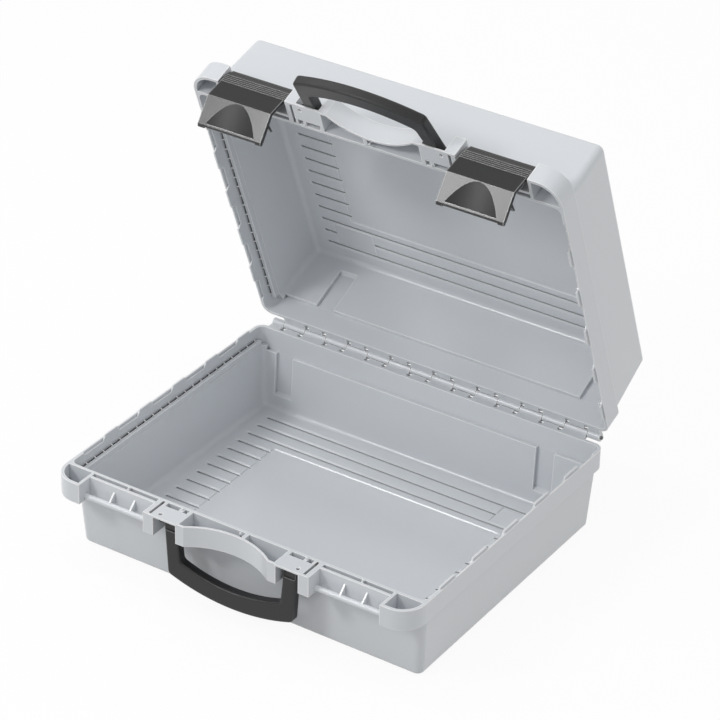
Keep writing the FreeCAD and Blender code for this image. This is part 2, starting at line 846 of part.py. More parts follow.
def open_blocks(body):
    """Slots in the legs, open cells behind the plates, and the holes in plates and legs."""
    front = case_front - size("block_overhang")
    slot_front = front + size("leg_slot_setback")
    slot = rectangle(size("leg_slot_inner"), size("leg_slot_outer"), slot_front, channel_back)
    cell_front = case_front + size("cell_setback")
    cells = [
        slot,
        flipped(slot),
        rectangle(-size("cell_left_outer"), -size("cell_left_rib_outer"), cell_front, channel_back),
        rectangle(-size("cell_left_rib_inner"), -size("cell_left_inner"), cell_front, channel_back),
        rectangle(size("cell_right_inner"), size("cell_right_rib_inner"), cell_front, channel_back),
        rectangle(size("cell_right_rib_outer"), size("cell_right_outer"), cell_front, channel_back),
    ]
    pad(body, "block_cells", "XY_Plane", ledge_top, overrun, cells)
    hole_across = case_front + size("plate_hole_setback")
    hole_radius = size("plate_hole_radius")
    holes = [
        Circle(-size("plate_hole_place"), hole_across, hole_radius),
        Circle(size("plate_hole_place"), hole_across, hole_radius),
    ]
    pad(body, "plate_holes", "XY_Plane", mouth - size("plate_thickness") * 2, overrun, holes)
    trunnion_radius = size("trunnion_radius") + size("trunnion_clearance")
    trunnion_hole = Circle(handle_across, -size("handle_pivot_depth"), trunnion_radius)
    inner = size("leg_inner") - overrun
    outer = size("leg_slot_inner") + overrun
    pad(body, "right_trunnion_hole", "YZ_Plane", inner, outer, [trunnion_hole])
    pad(body, "left_trunnion_hole", "YZ_Plane", -outer, -inner, [trunnion_hole])


def visor_outline(end, front, back):
    """Plan of the visor: straight ends and a middle bowed in towards the cavity."""
    half_chord = size("visor_chord") / 2
    return [
        Corner(-end, back),
        Corner(-end, front),
        Corner(-half_chord, front, bow=size("visor_bow")),
        Corner(half_chord, front),
        Corner(end, front),
        Corner(end, back),
    ]


def add_visor(body):
    """Curved front between the handle blocks."""
    front = case_front - size("block_overhang") / 2
    outline = visor_outline(size("block_inner"), front, channel_back)
    pad(body, "visor", "XY_Plane", rim_bottom, mouth, [outline])


def open_visor(body):
    """Open trough behind the visor and the hole at its left end."""
    front = case_front - size("block_overhang") / 2 + size("visor_wall")
    end = size("block_inner") - size("visor_end_wall")
    trough = visor_outline(end, front, channel_back)
    pad(body, "visor_trough", "XY_Plane", ledge_top, overrun, [trough])
    hole = rectangle(-end, size("visor_hole_width") - end, front, front + size("visor_hole_depth"))
    pad(body, "visor_hole", "XY_Plane", rim_bottom - overrun, overrun, [hole])


def add_visor_rib(body):
    """Rib and peg across the middle of the trough."""
    front = case_front - size("block_overhang") / 2 + size("visor_bow") + size("visor_wall") / 2
    start = size("visor_rib_start")
    low = ledge_top - size("ledge_thickness") / 2
    rib = rectangle(start, start + size("visor_rib_width"), front, channel_back + overrun)
    pad(body, "visor_rib", "XY_Plane", low, mouth, [rib])
    peg = Circle(size("visor_peg_place"), (front + channel_back) / 2, size("peg_radius"))
    pad(body, "visor_peg", "XY_Plane", low, size("peg_rise"), [peg])


def add_bars(body):
    """Round catch bars between leg and corner post, stiffened by gussets."""
    leg = size("leg_outer") - size("pocket_wall") / 2
    plate = size("pocket_plate_place") + size("pocket_wall") / 2
    bar = Circle(bar_across, -size("bar_depth"), size("bar_radius"))
    pad(body, "right_bar", "YZ_Plane", leg, plate, [bar])
    pad(body, "left_bar", "YZ_Plane", -plate, -leg, [bar])
    wall = front_face + size("front_wall") / 2
    radius = size("bar_radius")
    gusset = [
        Corner(wall, -size("gusset_top_depth")),
        Corner(bar_across - radius * 0.8, radius * 0.5 - size("bar_depth")),
        Corner(bar_across, -size("bar_depth") - radius * 0.5),
        Corner(wall, -size("bar_depth") - radius * 0.5),
    ]
    half = size("gusset_thickness") / 2
    spread = size("gusset_spacing") / 2
    left = -size("left_gusset_place")
    right = size("right_gusset_place")
    places = [left - spread, left + spread, right - spread, right + spread]
    for index, place in enumerate(places, start=1):
        pad(body, "gusset_" + str(index), "YZ_Plane", place - half, place + half, [gusset])


def hinge_reach():
    """Half the length of the row of knuckles."""
    return size("knuckle_pitch") * WIDE_KNUCKLE_COUNT + size("knuckle_end_width")


def add_knuckles(body):
    """Hinge knuckles of this half, the leaves that carry them and the ledges between."""
    pitch = size("knuckle_pitch")
    gap = size("knuckle_gap")
    span = pitch * WIDE_KNUCKLE_COUNT
    wall = -size("rim_wall") / 2
    leaf_low = mouth - size("leaf_thickness")
    leaf = rectangle(wall, hinge_across, leaf_low, mouth)
    barrel = Circle(hinge_across, zero, size("barrel_radius"))
    start = -span + pitch
    first_leaf = pad(body, "leaf", "YZ_Plane", start + gap, start + pitch - gap, [leaf])
    first_barrel = pad(body, "barrel", "YZ_Plane", start + gap, start + pitch - gap, [barrel])
    length = pitch * 2 * (WIDE_KNUCKLE_COUNT - 1)
    repeat(body, "knuckles", [first_leaf, first_barrel], "X_Axis", length, WIDE_KNUCKLE_COUNT)
    end = -span - size("knuckle_end_width")
    pad(body, "end_leaf", "YZ_Plane", end + gap, -span - gap, [leaf])
    pad(body, "end_barrel", "YZ_Plane", end + gap, -span - gap, [barrel])
    ledge_reach = hinge_across - size("barrel_radius") - size("hinge_ledge_clearance")
    ledge = rectangle(wall, ledge_reach, leaf_low, mouth)
    web = rectangle(wall, ledge_reach, leaf_low - size("hinge_web_thickness"), leaf_low + size("hinge_web_thickness") / 2)
    pad(body, "hinge_web", "YZ_Plane", -span, span, [web])
    half = size("hinge_ledge_width") / 2
    middle = -span + pitch / 2
    first_ledge = pad(body, "hinge_ledge", "YZ_Plane", middle - half, middle + half, [ledge])
    repeat(body, "hinge_ledges", [first_ledge], "X_Axis", length, WIDE_KNUCKLE_COUNT)
    bore = Circle(hinge_across, zero, size("rod_radius") + size("rod_clearance"))
    pocket(body, "rod_bore", "YZ_Plane", -hinge_reach() - overrun, hinge_reach() + overrun, [bore])


def boolean(kind, name, first, others):
    """Join bodies or take them away from the first."""
    feature = document.addObject("Part::" + kind, name)
    if kind == "Cut":
        feature.Base = first
        feature.Tool = others[0]
    else:
        feature.Shapes = [first] + others
    feature.Refine = kind == "MultiFuse"
    return feature


def build_half_shell():
    """One moulding that serves as base and, turned over, as lid."""
    tray = document.addObject("PartDesign::Body", "tray")
    build_pan(tray)
    build_rim(tray)
    build_cavity(tray)
    build_back_wall(tray)
    build_comb(tray)
    front = document.addObject("PartDesign::Body", "handle_front")
    add_blocks(front)
    add_visor(front)
    spaces = document.addObject("PartDesign::Body", "spaces")
    open_floor(spaces)
    open_notches(spaces)
    open_front(spaces)
    open_blocks(spaces)
    open_visor(spaces)
    details = document.addObject("PartDesign::Body", "details")
    add_tabs(details)
    add_pegs(details)
    add_visor_rib(details)
    add_bars(details)
    add_knuckles(details)
    solid_front = boolean("MultiFuse", "tray_with_front", tray, [front])
    opened = boolean("Cut", "opened_tray", solid_front, [spaces])
    return boolean("MultiFuse", "half_shell", opened, [details])


def build_rod():
    """Plain hinge rod through all the knuckles."""
    body = document.addObject("PartDesign::Body", "rod")
    section = Circle(hinge_across, zero, size("rod_radius"))
    pad(body, "rod_length", "YZ_Plane", -hinge_reach(), hinge_reach() + size("rod_end_rise"), [section])
    return body


def latch_face_points():
    """Outer face of a latch from its top edge to its lower end."""
    front = case_front
    crease_across = front - size("latch_crease_rise")
    crease_along = -size("latch_crease_depth")
    length = size("latch_lower_length")
    angle = size("latch_lower_angle")
    return [
        (front + size("latch_top_setback"), size("bar_depth") + size("bar_radius") + size("clip_wall")),
        (front + size("latch_shoulder_setback"), size("latch_shoulder_height")),
        (front + size("latch_belly_setback"), size("latch_belly_height")),
        (crease_across, crease_along),
        (crease_across + length * sine(angle), crease_along - length * cosine(angle)),
    ]


def add_latch_plate(body, half, face):
    """Bent plate of the latch with its side flanges, ridges and rolled lower edge."""
    wall = size("latch_wall")
    lower_wall = size("latch_lower_wall")
    angle = size("latch_lower_angle")
    outer = [Corner(across, along) for across, along in face]
    inner = [
        Corner(face[4][0] + lower_wall * cosine(angle), face[4][1] + lower_wall * sine(angle)),
        Corner(face[3][0] + lower_wall, face[3][1] + lower_wall * sine(angle) / 2),
        Corner(face[2][0] + wall, face[2][1]),
        Corner(face[1][0] + wall, face[1][1]),
        Corner(face[0][0] + wall, face[0][1] - wall / 2),
    ]
    pad(body, "latch_plate", "YZ_Plane", -half, half, [outer + inner])
    depth = size("flange_depth")
    flange = [
        Corner(face[1][0] + wall / 2, face[1][1]),
        Corner(face[2][0] + wall / 2, face[2][1]),
        Corner(face[3][0] + wall / 2, face[3][1]),
        Corner(face[4][0] + wall / 2, face[4][1] + wall / 2),
        Corner(face[4][0] + depth, face[4][1] + depth),
        Corner(face[3][0] + depth, face[3][1] + depth / 2),
        Corner(face[2][0] + depth, face[2][1]),
        Corner(face[1][0] + depth, face[1][1]),
    ]
    thickness = size("flange_thickness")
    pad(body, "right_flange", "YZ_Plane", half - thickness, half, [flange])
    pad(body, "left_flange", "YZ_Plane", -half, thickness - half, [flange])
    middle_across = (face[1][0] + face[2][0]) / 2
    middle_along = (face[1][1] + face[2][1]) / 2
    lean = (face[1][0] - face[2][0]) / (face[1][1] - face[2][1])
    ridges = []
    for index in range(RIDGE_COUNT):
        shift = size("ridge_pitch") * (index - (RIDGE_COUNT - 1) / 2)
        ridges.append(Circle(middle_across + lean * shift, middle_along + shift, size("ridge_radius")))
    pad(body, "ridges", "YZ_Plane", -half, half, ridges)
    lip = size("lip_radius")
    lip_across = face[4][0] + lip * cosine(angle)
    lip_along = face[4][1] + lip * sine(angle)
    pad(body, "lip", "YZ_Plane", -half, half, [Circle(lip_across, lip_along, lip)])
    foot = Circle(lip_across + lip / 2, lip_along, size("lip_foot_radius"))
    foot_width = size("lip_foot_width")
    pad(body, "right_lip_foot", "YZ_Plane", half - foot_width, half, [foot])
    pad(body, "left_lip_foot", "YZ_Plane", -half, foot_width - half, [foot])


def add_latch_clips(body, half):
    """Three clips round the lid's bar, open towards the case, with gaps for the gussets."""
    height = size("bar_depth")
    ring = Circle(bar_across, height, size("bar_radius") + size("clip_wall"))
    notch = size("clip_notch_width") / 2
    left = -size("clip_notch_left")
    right = size("clip_notch_right")
    pad(body, "left_clip", "YZ_Plane", -half, left - notch, [ring])
    pad(body, "middle_clip", "YZ_Plane", left + notch, right - notch, [ring])
    pad(body, "right_clip", "YZ_Plane", right + notch, half, [ring])
    bore = Circle(bar_across, height, size("bar_radius") + size("clip_clearance"))
    pocket(body, "clip_bore", "YZ_Plane", -half - overrun, half + overrun, [bore])
    throat = size("bar_radius") * size("clip_throat_share")
    reach = bar_across + size("bar_radius") + size("clip_wall") + overrun
    throat_cut = rectangle(bar_across, reach, height - throat, height + throat)
    pocket(body, "clip_throat", "YZ_Plane", -half - overrun, half + overrun, [throat_cut])


def add_latch_hooks(body, half, face):
    """Two hooks that reach under the base's bar."""
    tip_across = bar_across + size("hook_tip_reach")
    tip_along = -size("hook_tip_depth")
    root_along = -size("hook_root_depth")
    rise = size("hook_tip_height")
    slant = tangent(size("latch_lower_angle"))
    root_across = face[3][0] + (face[3][1] - root_along) * slant + size("latch_lower_wall") / 2
    hook = [
        Corner(root_across - rise * slant, root_along + rise),
        Corner(bar_across, tip_along - rise / 2),
        Corner(tip_across, tip_along),
        Corner(tip_across - rise / 2, tip_along - rise),
        Corner(bar_across, tip_along - rise * 2),
        Corner(root_across + rise / 2 * slant, root_along - rise / 2),
    ]
    width = size("hook_width")
    pad(body, "right_hook", "YZ_Plane", half - width, half, [hook])
    pad(body, "left_hook", "YZ_Plane", -half, width - half, [hook])


def build_latch():
    """Latch that clips round the lid's bar and hooks under the base's bar."""
    body = document.addObject("PartDesign::Body", "latch_blank")
    half = size("latch_width") / 2
    face = latch_face_points()
    add_latch_plate(body, half, face)
    add_latch_clips(body, half)
    add_latch_hooks(body, half, face)
    angle = size("latch_lower_angle")
    radius = size("thumb_radius")
    start = size("thumb_start")
    dish = document.addObject("Part::Cylinder", "thumb_dish")
    bind(dish, "Radius", radius)
    lean = angle + size("thumb_tilt")
    run_up = size("thumb_run_up")
    bind(dish, "Height", size("latch_lower_length") - start - size("lip_radius") + run_up)
    start_across = face[3][0] + start * sine(angle) - radius * cosine(lean) - run_up * sine(lean)
    start_along = face[3][1] - start * cosine(angle) - radius * sine(lean) + run_up * cosine(lean)
    half_turn = 180
    place = move(zero, start_across, start_along) * turn("X", lean + half_turn)
    bind_pose(dish, place)
    return boolean("Cut", "latch", body, [dish])


def build_handle():
    """Bail handle, hanging, with its turning axis on the origin."""
    body = document.addObject("PartDesign::Body", "handle")
    half = size("handle_thickness") / 2
    outer_top = size("handle_outer_top")
    inner_top = size("handle_inner_top")
    outer = size("handle_outer_corner")
    inner = size("handle_inner_corner")
    outer_drop = -size("handle_outer_drop")
    inner_drop = -size("handle_inner_drop")
    outline = [
        Corner(-outer, outer_drop, bow=-size("handle_outer_bow")),
        Corner(outer, outer_drop),
        Corner(outer_top, half),
        Corner(inner_top, half),
        Corner(inner, inner_drop, bow=size("handle_inner_bow")),
        Corner(-inner, inner_drop),
        Corner(-inner_top, half),
        Corner(-outer_top, half),
    ]
    pad(body, "bail", "XZ_Plane", -half, half, [outline])

    def crosses_at(edge, height):
        box = edge.BoundBox
        through = box.YLength > number_of(half)
        return through and abs(box.ZMin - number_of(height)) < 1e-4 and box.XLength < 1e-4

    def on_head(edge):
        return lies_at(edge, half) and edge.BoundBox.YLength < 1e-4

    blend_edges(body, "head_round", half - size("handle_head_flat"), on_head)
    outer_corners = size("handle_corner_radius")
    inner_corners = size("handle_inner_corner_radius")
    blend_edges(body, "outer_corner_round", outer_corners, lambda edge: crosses_at(edge, outer_drop))
    blend_edges(body, "inner_corner_round", inner_corners, lambda edge: crosses_at(edge, inner_drop))

    def on_broad_face(edge):
        box = edge.BoundBox
        return box.YLength < 1e-4 and abs(abs(box.YMin) - number_of(half)) < 1e-4 and box.ZMin < 0

    blend_edges(body, "grip_edge_round", size("handle_edge_radius"), on_broad_face)
    reach = outer_top + overrun
    step = rectangle(-reach, reach, -half, half + overrun)
    pocket(body, "head_step", "XZ_Plane", -half - overrun, size("handle_head_step") - half, [step])
    pin = Circle(zero, zero, size("trunnion_radius"))
    pin_root = outer_top - half
    pin_end = size("leg_slot_inner") - size("trunnion_end_gap")
    pad(body, "right_trunnion", "YZ_Plane", pin_root, pin_end, [pin])
    pad(body, "left_trunnion", "YZ_Plane", -pin_end, -pin_root, [pin])
    return body


def place_piece(label, source, pose):
    """A finished piece: one moulding put where it lies on the case."""
    piece = document.addObject("Part::Compound", label)
    piece.Label = label
    piece.Links = [source]
    bind_pose(piece, pose)
    return piece


def build_case():
    """All pieces of the case, with the lid open and the handles as they lie."""
    half_shell = build_half_shell()
    latch = build_latch()
    handle = build_handle()
    stand_across = (size("pan_back_inset") + size("case_depth") - size("pan_front_setback")) / 2
    stand = move(zero, stand_across, size("shell_height"))
    hinge = move(zero, hinge_across, zero)
    unhinge = move(zero, -hinge_across, zero)
    opened = stand * hinge * turn("X", -size("lid_open_angle")) * unhinge
    turned_over = turn("Y", zero + 180)
    lower_pivot = move(zero, handle_across, -size("handle_pivot_depth"))
    upper_pivot = move(zero, handle_across, size("handle_pivot_depth"))
    raised = turn("X", size("upper_handle_angle"))
    latch_shift = size("latch_place")
    return [
        place_piece("base_shell", half_shell, stand),
        place_piece("lid_shell", half_shell, opened * turned_over),
        place_piece("hinge_rod", build_rod(), stand),
        place_piece("latch_left", latch, opened * move(-latch_shift, zero, zero)),
        place_piece("latch_right", latch, opened * move(latch_shift, zero, zero)),
        place_piece("handle_lower", handle, stand * lower_pivot),
        place_piece("handle_upper", handle, opened * upper_pivot * raised * turned_over),
    ]


def check_document(pieces):
    """Stop if any feature failed, any cut removed nothing or any piece is unsound."""
    for item in document.Objects:
        if "Invalid" in item.State or "Error" in item.State:
            raise RuntimeError(item.Name + " could not be built")
        if item.TypeId == "PartDesign::Pocket" and item.Shape.Volume >= item.BaseFeature.Shape.Volume:
            raise RuntimeError(item.Name + " removed nothing")
    for piece in pieces:
        shape = piece.Shape
        if shape.isNull() or not shape.isValid() or len(shape.Solids) != 1:
            raise RuntimeError(piece.Label + " is not one sound solid")


def main():
    """Build the case, check it and write one file for each piece."""
    pieces = build_case()
    document.recompute()
    check_document(pieces)
    os.makedirs("parts", exist_ok=True)
    for piece in pieces:
        piece.Shape.exportStep("parts/" + piece.Label + ".step")
        box = piece.Shape.BoundBox
        print(piece.Label, round(piece.Shape.Volume), [round(value, 1) for value in (
            box.XMin, box.XMax, box.YMin, box.YMax, box.ZMin, box.ZMax)])


main()
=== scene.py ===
import math

import bmesh
import bpy
from mathutils import Matrix, Vector


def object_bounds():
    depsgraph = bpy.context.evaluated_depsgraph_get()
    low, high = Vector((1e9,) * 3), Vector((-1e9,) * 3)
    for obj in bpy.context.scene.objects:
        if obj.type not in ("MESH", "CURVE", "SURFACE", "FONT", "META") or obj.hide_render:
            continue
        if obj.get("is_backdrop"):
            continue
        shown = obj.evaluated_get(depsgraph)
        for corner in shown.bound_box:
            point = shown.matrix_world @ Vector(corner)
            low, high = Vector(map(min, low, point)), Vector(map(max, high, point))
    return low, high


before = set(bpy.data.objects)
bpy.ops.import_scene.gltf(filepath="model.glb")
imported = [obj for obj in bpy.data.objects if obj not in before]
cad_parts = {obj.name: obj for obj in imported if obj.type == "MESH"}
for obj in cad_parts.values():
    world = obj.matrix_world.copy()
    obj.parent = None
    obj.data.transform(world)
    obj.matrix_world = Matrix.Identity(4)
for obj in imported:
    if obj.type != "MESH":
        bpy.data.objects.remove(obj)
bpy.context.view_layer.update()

bl_info = {
    "name": "Hard tool case",
    "version": (1, 0, 0),
    "blender": (4, 5, 0),
    "location": "View3D > Sidebar > Tool case",
    "description": "Dresses a moulded tool case and sets it on a pale studio floor",
    "category": "Object",
}

SHELLS = ("base_shell", "lid_shell")
LATCHES = ("latch_left", "latch_right")
HANDLES = ("handle_lower", "handle_upper")
ROD = "hinge_rod"

# moulded grain: specks at two scales, their shares of the height, and the height for a speck's size
FINE_GRAIN_DETAIL = 2.0
COARSE_GRAIN_DETAIL = 1.0
COARSE_GRAIN_SCALE_SHARE = 0.35
FINE_GRAIN_SHARE = 0.65
COARSE_GRAIN_SHARE = 0.35
GRAIN_HEIGHT_SHARE = 0.1

# masks of closed-in places and sharp edges: how far they reach, and how open a place is at each end;
# the first paints shade into crevices, the second paints highlights along edges
CREVICE_REACH = 0.004
CREVICE_OPEN = 0.58
CREVICE_CLOSED = 0.18
CREVICE_SHADE_STRENGTH = 0.92
# near-black painted shade laid into crevices, gaps and grooves
CREVICE_SHADE_COLOUR = (0.006, 0.007, 0.008, 1.0)
EDGE_WIDTH = 0.0009
EDGE_FLAT = 0.95
EDGE_SHARP = 0.72
MASK_SAMPLES = 8
EDGE_ROUND_SAMPLES = 6

# cloudiness of the plastic
CLOUD_SCALE = 9.0
CLOUD_DETAIL = 3.0
CLOUD_ROUGHNESS = 0.08
COAT_ROUGHNESS = 0.16

# lines along the drawn wire
WIRE_STRETCH = (40.0, 2500.0, 2500.0)
WIRE_DETAIL = 2.0
WIRE_ROUGHNESS = 0.2
WIRE_ROUGHNESS_SPREAD = 0.25

# floor: what the light sees, and what the camera and reflections see of its glow
FLOOR_COLOUR = (0.5, 0.5, 0.5, 1.0)
FLOOR_ROUGHNESS = 0.9
FLOOR_GLOW = 1.08
FLOOR_GLOW_SHARE = 0.85

# lamps: place and size, and the long lamp's length
KEY_PLACE = (-1.11, -1.66, 1.71)
KEY_SIZE = 0.5
TOP_PLACE = (1.21, 0.0, 2.38)
TOP_SIZE = 1.2
STRIP_PLACE = (-1.15, -0.1, 2.15)
STRIP_SIZE = 0.25
STRIP_LENGTH = 3.2

CAMERA_SENSOR = 36.0
CAMERA_CLIP = 100.0


class ShellSettings(bpy.types.PropertyGroup):
    """Finish of the two moulded halves."""

    colour: bpy.props.FloatVectorProperty(
        name="Plastic colour",
        description="Colour of the light grey moulding",
        default=(0.68, 0.705, 0.735),
        min=0.0,
        max=1.0,
        subtype="COLOR",
    )
    roughness: bpy.props.FloatProperty(
        name="Roughness",
        description="Sheen of the grained surface",
        default=0.31,
        min=0.0,
        max=1.0,
        subtype="FACTOR",
    )
    grain_size: bpy.props.FloatProperty(
        name="Grain size",
        description="Size of one speck of the mould's grain",
        default=0.0007,
        min=0.0001,
        unit="LENGTH",
    )
    edge_round: bpy.props.FloatProperty(
        name="Edge round",
        description="Radius of the moulded edges",
        default=0.0006,
        min=0.0,
        unit="LENGTH",
    )


class FittingSettings(bpy.types.PropertyGroup):
    """Finish of the latches, the handles and the hinge rod."""

    colour: bpy.props.FloatVectorProperty(
        name="Plastic colour",
        description="Colour of the black latches and handles",
        default=(0.008, 0.008, 0.0085),
        min=0.0,
        max=1.0,
        subtype="COLOR",
    )
    roughness: bpy.props.FloatProperty(
        name="Roughness",
        description="Sheen of the black plastic",
        default=0.33,
        min=0.0,
        max=1.0,
        subtype="FACTOR",
    )
    edge_round: bpy.props.FloatProperty(
        name="Edge round",
        description="Radius of the handles' edges",
        default=0.0004,
        min=0.0,
        unit="LENGTH",
    )
    rod_colour: bpy.props.FloatVectorProperty(
        name="Rod colour",
        description="Colour of the steel hinge rod",
        default=(0.12, 0.12, 0.125),
        min=0.0,
        max=1.0,
        subtype="COLOR",
    )


class StageSettings(bpy.types.PropertyGroup):
    """Camera, lamps and floor."""

    camera_place: bpy.props.FloatVectorProperty(
        name="Camera place",
        description="Where the camera stands",
        default=(1.27187, -1.93238, 1.56906),
        subtype="TRANSLATION",
        unit="LENGTH",
    )
    camera_azimuth: bpy.props.FloatProperty(
        name="Azimuth",
        description="Turn of the view about the vertical",
        default=math.radians(32.957),
        subtype="ANGLE",
    )
    camera_elevation: bpy.props.FloatProperty(
        name="Elevation",
        description="How far the view looks down",
        default=math.radians(31.186),
        subtype="ANGLE",
    )
    camera_roll: bpy.props.FloatProperty(
        name="Roll", description="Tilt of the picture", default=math.radians(1.163), subtype="ANGLE"
    )
    camera_lens: bpy.props.FloatProperty(
        name="Lens",
        description="Focal length in millimetres on a 36 mm frame",
        default=166.5,
        min=1.0,
    )
    floor_size: bpy.props.FloatProperty(
        name="Floor size", description="Width of the floor", default=24.0, min=1.0, unit="LENGTH"
    )
    key_power: bpy.props.FloatProperty(
        name="Key power", description="Power of the main lamp", default=15.0, min=0.0
    )
    top_power: bpy.props.FloatProperty(
        name="Top power", description="Power of the lamp above", default=3.5, min=0.0
    )
    strip_power: bpy.props.FloatProperty(
        name="Strip power", description="Power of the long lamp", default=11.0, min=0.0
    )
    sky_strength: bpy.props.FloatProperty(
        name="Sky strength", description="Strength of the even light around", default=0.665, min=0.0
    )


def new_group(name, inputs, outputs):
    """Empty shader node group with the named sockets."""
    group = bpy.data.node_groups.new(name, "ShaderNodeTree")
    for label, kind, value in inputs:
        socket = group.interface.new_socket(label, in_out="INPUT", socket_type=kind)
        socket.default_value = value
    for label, kind in outputs:
        group.interface.new_socket(label, in_out="OUTPUT", socket_type=kind)
    entry = group.nodes.new("NodeGroupInput")
    leave = group.nodes.new("NodeGroupOutput")
    return group, entry, leave


def add_math(tree, operation, *values):
    """Math node fed by sockets or plain numbers."""
    node = tree.nodes.new("ShaderNodeMath")
    node.operation = operation
    for socket, value in zip(node.inputs, values):
        if isinstance(value, (int, float)):
            socket.default_value = value
        else:
            tree.links.new(value, socket)
    return node.outputs[0]


def add_noise(tree, vector, scale, detail):
    """Noise that reads a vector at a scale."""
    node = tree.nodes.new("ShaderNodeTexNoise")
    node.inputs["Detail"].default_value = detail
    if isinstance(scale, (int, float)):
        node.inputs["Scale"].default_value = scale
    else:
        tree.links.new(scale, node.inputs["Scale"])
    tree.links.new(vector, node.inputs["Vector"])
    return node.outputs["Fac"]


def make_grain_group():
    """Height of a fine moulded grain, from the size of its specks."""
    group, entry, leave = new_group(
        "moulded_grain",
        [
            ("Vector", "NodeSocketVector", (0.0, 0.0, 0.0)),
            ("Speck Size", "NodeSocketFloat", 0.0007),
        ],
        [("Height", "NodeSocketFloat")],
    )
    fine_scale = add_math(group, "DIVIDE", 1.0, entry.outputs["Speck Size"])
    coarse_scale = add_math(group, "MULTIPLY", fine_scale, COARSE_GRAIN_SCALE_SHARE)
    fine = add_noise(group, entry.outputs["Vector"], fine_scale, FINE_GRAIN_DETAIL)
    coarse = add_noise(group, entry.outputs["Vector"], coarse_scale, COARSE_GRAIN_DETAIL)
    fine_part = add_math(group, "MULTIPLY", fine, FINE_GRAIN_SHARE)
    coarse_part = add_math(group, "MULTIPLY", coarse, COARSE_GRAIN_SHARE)
    mixed = add_math(group, "ADD", fine_part, coarse_part)
    group.links.new(mixed, leave.inputs["Height"])
    return group


def make_relief_group():
    """Masks of the closed-in places and of the sharp outer edges of a piece, for painted shade and
    painted highlights.
    """
    group, entry, leave = new_group(
        "moulded_relief",
        [("Reach", "NodeSocketFloat", CREVICE_REACH), ("Edge Width", "NodeSocketFloat", EDGE_WIDTH)],
        [("Crevice", "NodeSocketFloat"), ("Edge", "NodeSocketFloat")],
    )
    # how closed-in a place is, which drives the painted shade
    outside = group.nodes.new("ShaderNodeAmbientOcclusion")
    outside.samples = MASK_SAMPLES
    group.links.new(entry.outputs["Reach"], outside.inputs["Distance"])
    closed = group.nodes.new("ShaderNodeMapRange")
    closed.interpolation_type = "SMOOTHSTEP"
    closed.inputs["From Min"].default_value = CREVICE_OPEN
    closed.inputs["From Max"].default_value = CREVICE_CLOSED
    group.links.new(outside.outputs["AO"], closed.inputs["Value"])
    group.links.new(closed.outputs["Result"], leave.inputs["Crevice"])
    # how sharp an outer edge is, which drives the painted highlights
    inside = group.nodes.new("ShaderNodeAmbientOcclusion")
    inside.samples = MASK_SAMPLES
    inside.inside = True
    inside.only_local = True
    group.links.new(entry.outputs["Edge Width"], inside.inputs["Distance"])
    edge = group.nodes.new("ShaderNodeMapRange")
    edge.inputs["From Min"].default_value = EDGE_FLAT
    edge.inputs["From Max"].default_value = EDGE_SHARP
    group.links.new(inside.outputs["AO"], edge.inputs["Value"])
    group.links.new(edge.outputs["Result"], leave.inputs["Edge"])
    return group


def make_tone_group():
    """Colour with the faint cloudiness of moulded plastic, painted shade in the crevices and painted
    highlights along the sharp edges.
    """
    group, entry, leave = new_group(
        "moulded_tone_and_painted_light",
        [
            ("Vector", "NodeSocketVector", (0.0, 0.0, 0.0)),
            ("Colour", "NodeSocketColor", (0.5, 0.5, 0.5, 1.0)),
            ("Spread", "NodeSocketFloat", 0.03),
            ("Crevice", "NodeSocketFloat", 0.0),
            ("Crevice Shade Strength", "NodeSocketFloat", CREVICE_SHADE_STRENGTH),
            ("Edge", "NodeSocketFloat", 0.0),
            ("Edge Highlight Colour", "NodeSocketColor", (0.9, 0.9, 0.9, 1.0)),
            ("Edge Highlight Strength", "NodeSocketFloat", 0.5),
        ],
        [("Colour", "NodeSocketColor"), ("Mask", "NodeSocketFloat")],
    )
    cloud = add_noise(group, entry.outputs["Vector"], CLOUD_SCALE, CLOUD_DETAIL)
    centred = add_math(group, "SUBTRACT", cloud, 0.5)
    gain = add_math(group, "MULTIPLY", centred, entry.outputs["Spread"])
    value = add_math(group, "ADD", gain, 1.0)
    tint = group.nodes.new("ShaderNodeHueSaturation")
    group.links.new(value, tint.inputs["Value"])
    group.links.new(entry.outputs["Colour"], tint.inputs["Color"])
    # painted highlight: sharp outer edges lightened towards the edge highlight colour
    edge_lit = group.nodes.new("ShaderNodeMix")
    edge_lit.data_type = "RGBA"
    highlight_share = add_math(group, "MULTIPLY", entry.outputs["Edge"], entry.outputs["Edge Highlight Strength"])
    group.links.new(highlight_share, edge_lit.inputs["Factor"])
    group.links.new(tint.outputs["Color"], edge_lit.inputs["A"])
    group.links.new(entry.outputs["Edge Highlight Colour"], edge_lit.inputs["B"])
    # painted shade: closed-in places darkened towards near black
    shaded = group.nodes.new("ShaderNodeMix")
    shaded.data_type = "RGBA"
    shaded.inputs["B"].default_value = CREVICE_SHADE_COLOUR
    shade_share = add_math(group, "MULTIPLY", entry.outputs["Crevice"], entry.outputs["Crevice Shade Strength"])
    group.links.new(shade_share, shaded.inputs["Factor"])
    group.links.new(edge_lit.outputs["Result"], shaded.inputs["A"])
    group.links.new(shaded.outputs["Result"], leave.inputs["Colour"])
    group.links.new(cloud, leave.inputs["Mask"])
    return group


